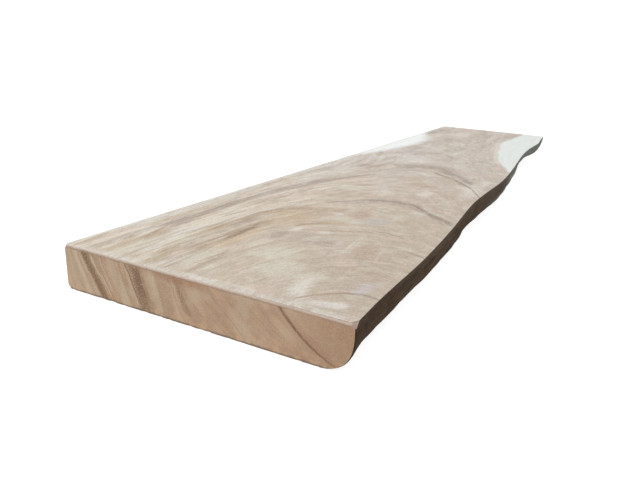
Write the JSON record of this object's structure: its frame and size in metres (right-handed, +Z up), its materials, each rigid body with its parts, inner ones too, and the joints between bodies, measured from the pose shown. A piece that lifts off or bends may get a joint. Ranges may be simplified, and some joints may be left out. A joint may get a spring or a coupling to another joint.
{
  "type": "live edge tabletop slab",
  "caption": "Solid suar wood slab for a tabletop: flat top and underside, one straight sawn side, square sawn ends and a wavy live edge that rounds under along the other side.",
  "frame": {"origin": "middle of the slab's box, on the underside, which is the surface it rests on", "axes": "+Y along the length, from the wide end at -Y to the narrow end at +Y; +X from the straight sawn side towards the live edge; +Z up through the thickness"},
  "size_m": [0.573, 1.6, 0.08],
  "materials": {
    "suar_wood": "sanded and unoiled, with pale dust in the grain; the live edge is dark and debarked"
  },
  "bodies": {
    "root": {"slab": "suar_wood"}
  },
  "joints": []
}
